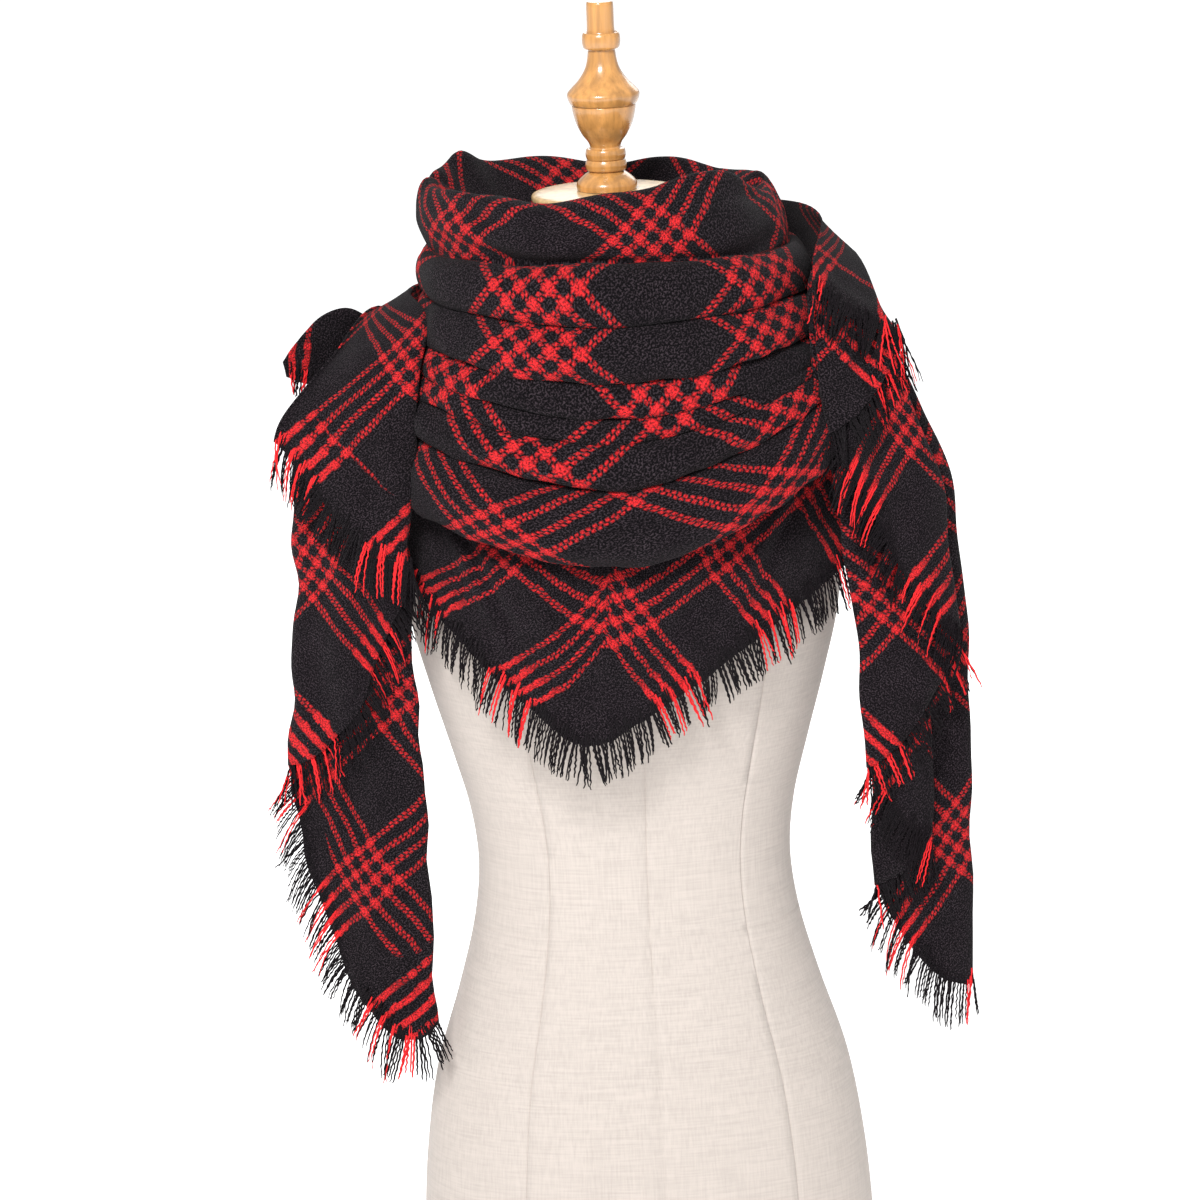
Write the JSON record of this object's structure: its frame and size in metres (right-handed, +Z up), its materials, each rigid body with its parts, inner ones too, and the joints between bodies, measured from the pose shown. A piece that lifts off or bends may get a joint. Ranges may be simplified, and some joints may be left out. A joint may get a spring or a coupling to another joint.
{
  "type": "blanket scarf on dress form",
  "caption": "Square checked blanket scarf wound round the neck of a limbless dress form, with stacked rolls, a fringed front point and pleated ends over both shoulders.",
  "frame": {"origin": "centre of the dress form's flat base, on the surface it stands on", "axes": "+Z up along the form's axis, the form's front faces -Y, +X towards the right of someone who faces the front"},
  "size_m": [0.548, 0.3144, 0.9676],
  "materials": {
    "form_linen": "plain fine linen cover",
    "form_wood": "glossy honey varnish",
    "cap_wood": "pale satin",
    "scarf_cloth": "brushed wool twill, charcoal with a red line check",
    "scarf_fringe": "loose wool yarns, charcoal and red"
  },
  "bodies": {
    "root": {"form_torso": "form_linen", "form_neck_cap": "cap_wood", "form_finial": "form_wood", "front_collar": "scarf_cloth", "back_collar": "scarf_cloth", "front_rolls": "scarf_cloth", "front_point": "scarf_cloth", "front_point_fringe": "scarf_fringe", "left_back_flap": "scarf_cloth", "left_back_flap_fringe": "scarf_fringe", "left_front_flap": "scarf_cloth", "left_front_flap_fringe": "scarf_fringe", "left_middle_fall": "scarf_cloth", "left_middle_fall_fringe": "scarf_fringe", "left_lower_fall": "scarf_cloth", "left_lower_fall_fringe": "scarf_fringe", "right_front_flap": "scarf_cloth", "right_front_flap_fringe": "scarf_fringe", "right_second_fall": "scarf_cloth", "right_second_fall_fringe": "scarf_fringe", "right_third_fall": "scarf_cloth", "right_third_fall_fringe": "scarf_fringe", "right_fourth_fall": "scarf_cloth", "right_fourth_fall_fringe": "scarf_fringe", "right_fifth_fall": "scarf_cloth", "right_fifth_fall_fringe": "scarf_fringe", "right_hidden_fall": "scarf_cloth", "right_hidden_fall_fringe": "scarf_fringe", "right_lower_fall": "scarf_cloth", "right_lower_fall_fringe": "scarf_fringe"}
  },
  "joints": []
}
